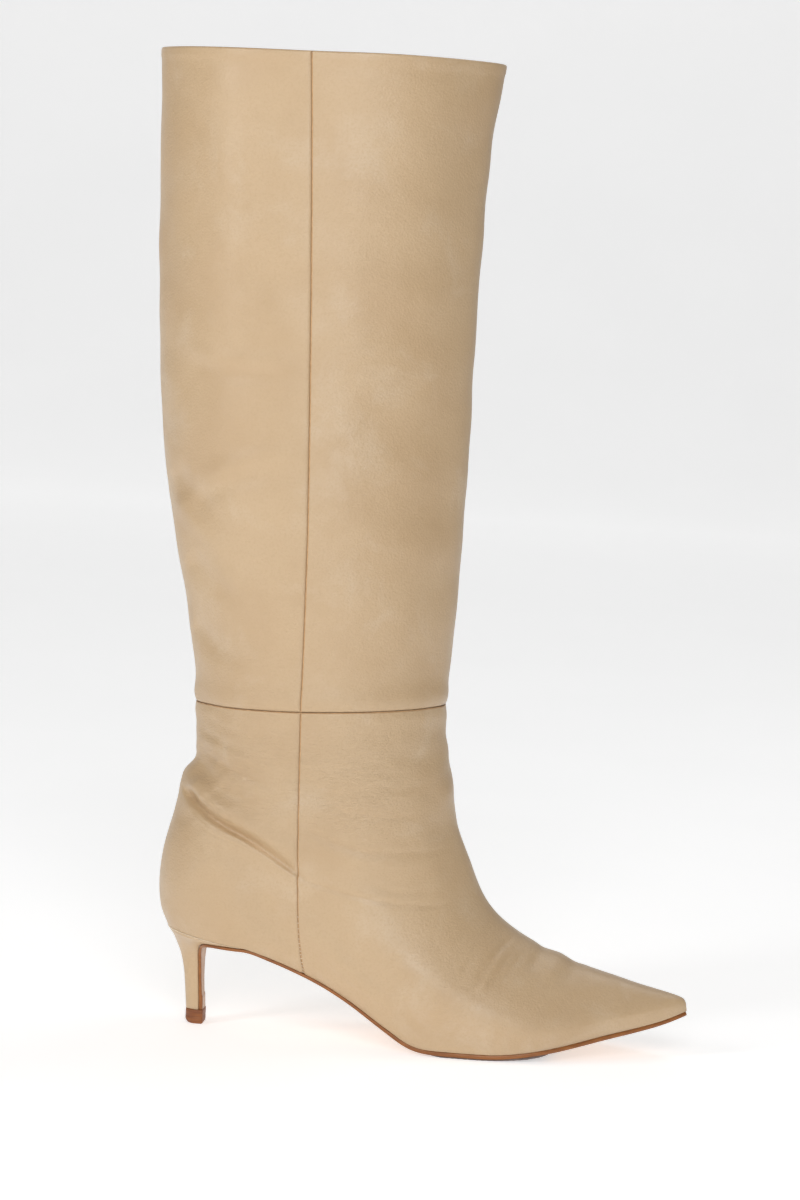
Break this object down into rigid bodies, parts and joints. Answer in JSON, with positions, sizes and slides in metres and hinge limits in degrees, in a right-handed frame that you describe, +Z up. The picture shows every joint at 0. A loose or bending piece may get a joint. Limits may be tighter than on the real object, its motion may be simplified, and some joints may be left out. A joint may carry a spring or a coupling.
{
  "type": "knee-high heeled boot",
  "caption": "Knee-high pull-on boot for the right foot, with a straight leather leg, pointed toe, slim low heel, thin outsole, lining, stiffeners and heel hardware.",
  "frame": {"origin": "on the floor, under the middle of the boot's bounding box", "axes": "+X towards the toe, +Y towards the inner side of the foot, +Z up"},
  "size_m": [0.2672, 0.097, 0.4513],
  "materials": {
    "upper_leather": "smooth full-grain calf, warm beige, soft sheen",
    "lining_leather": "thin smooth pigskin, pale beige, matt",
    "thread": "twisted polyester thread, brown-beige",
    "seam_tape": "woven reinforcing tape, off-white",
    "fibre_board": "pressed cellulose board, brown, matt",
    "foam": "soft latex foam, off-white, matt",
    "sole_leather": "dense sole leather, orange-brown, burnished edge",
    "tread_rubber": "thin moulded rubber pad, pinkish grey, matt",
    "heel_plastic": "moulded hard plastic core, off-white",
    "tip_plastic": "hard polyurethane tip, red-brown, satin",
    "steel": "plain steel, unpolished"
  },
  "bodies": {
    "foot": {"vamp_panel": "upper_leather", "heel_quarter_panel": "upper_leather", "foot_outer_seam_thread": "thread", "foot_outer_seam_tape": "seam_tape", "foot_inner_seam_thread": "thread", "foot_inner_seam_tape": "seam_tape", "heel_counter": "fibre_board", "toe_puff": "fibre_board", "vamp_lining": "lining_leather", "heel_grip_lining": "lining_leather", "shank_board": "fibre_board", "steel_shank": "steel", "forepart_filler": "foam", "insole_board": "fibre_board", "shank_rivet": "steel", "heel_pad": "foam", "sock_lining": "lining_leather", "heel_block": "heel_plastic", "heel_cover": "upper_leather", "heel_dowel": "steel", "top_piece": "tip_plastic", "top_piece_pin": "steel", "heel_screw": "steel", "heel_nail_1": "steel", "heel_nail_2": "steel", "heel_nail_3": "steel", "heel_nail_4": "steel", "outsole": "sole_leather", "forefoot_tread": "tread_rubber"},
    "shaft": {"shaft_front_panel": "upper_leather", "shaft_back_panel": "upper_leather", "shaft_outer_seam_thread": "thread", "shaft_outer_seam_tape": "seam_tape", "shaft_inner_seam_thread": "thread", "shaft_inner_seam_tape": "seam_tape", "ankle_seam_thread": "thread", "ankle_seam_tape": "seam_tape", "topline_tape": "seam_tape", "shaft_front_lining": "lining_leather", "shaft_back_lining": "lining_leather", "top_facing": "upper_leather"}
  },
  "joints": [
    {"name": "ankle_flex", "type": "hinge", "parent": "foot", "child": "shaft", "pos_m": [0.0145, 0, 0.158], "axis": [0, 1, 0], "range_deg": [0, 12]}
  ]
}
